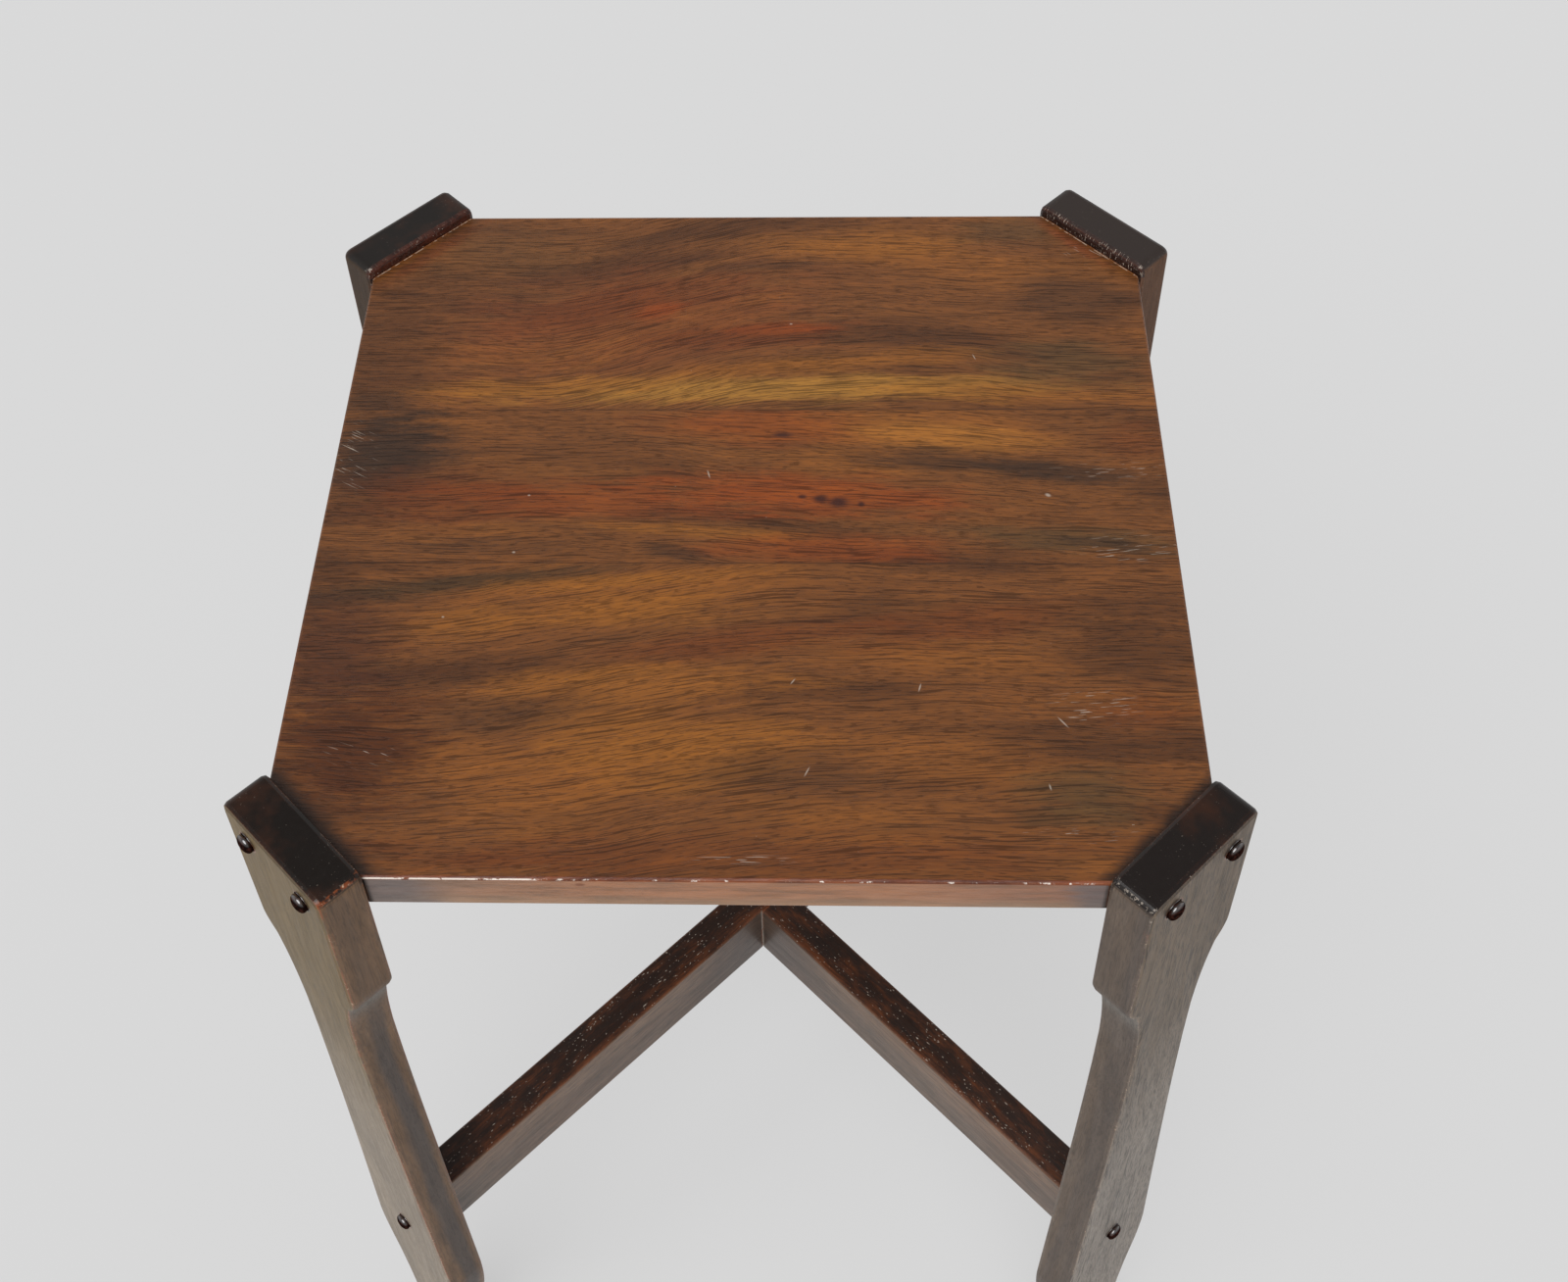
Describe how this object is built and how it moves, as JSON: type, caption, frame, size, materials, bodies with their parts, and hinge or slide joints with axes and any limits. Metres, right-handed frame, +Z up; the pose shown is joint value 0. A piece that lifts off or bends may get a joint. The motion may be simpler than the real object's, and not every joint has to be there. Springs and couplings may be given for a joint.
{
  "type": "taboret",
  "caption": "Small square wooden side table with clipped corners, on shaped board legs set on the diagonals and tied by crossed stretchers, for a lamp, a plant or a drink.",
  "frame": {"origin": "on the floor, under the middle of the top", "axes": "+Z up, -Y to the front, which is the side nearest the camera in the picture, +X to the right as seen from the front. The top's straight edges run along X and Y and the legs stand on the diagonals"},
  "size_m": [0.4526, 0.4526, 0.6096],
  "materials": {
    "top_wood": "satin, reddish brown with a short dark grain",
    "leg_wood": "satin, near black brown, worn to orange at the edges",
    "stretcher_wood": "satin, dark brown, worn to orange at the edges",
    "plug_wood": "gloss, near black",
    "screw_steel": "plain steel"
  },
  "bodies": {
    "root": {"top_board_front": "top_wood", "top_board_middle": "top_wood", "top_board_back": "top_wood", "stretcher_over": "stretcher_wood", "stretcher_under": "stretcher_wood", "leg_front_left": "leg_wood", "leg_front_right": "leg_wood", "leg_back_left": "leg_wood", "leg_back_right": "leg_wood", "front_left_screw_top_left": "screw_steel", "front_left_plug_top_left": "plug_wood", "front_left_screw_top_right": "screw_steel", "front_left_plug_top_right": "plug_wood", "front_left_screw_stretcher": "screw_steel", "front_left_plug_stretcher": "plug_wood", "front_right_screw_top_left": "screw_steel", "front_right_plug_top_left": "plug_wood", "front_right_screw_top_right": "screw_steel", "front_right_plug_top_right": "plug_wood", "front_right_screw_stretcher": "screw_steel", "front_right_plug_stretcher": "plug_wood", "back_left_screw_top_left": "screw_steel", "back_left_plug_top_left": "plug_wood", "back_left_screw_top_right": "screw_steel", "back_left_plug_top_right": "plug_wood", "back_left_screw_stretcher": "screw_steel", "back_left_plug_stretcher": "plug_wood", "back_right_screw_top_left": "screw_steel", "back_right_plug_top_left": "plug_wood", "back_right_screw_top_right": "screw_steel", "back_right_plug_top_right": "plug_wood", "back_right_screw_stretcher": "screw_steel", "back_right_plug_stretcher": "plug_wood"}
  },
  "joints": []
}
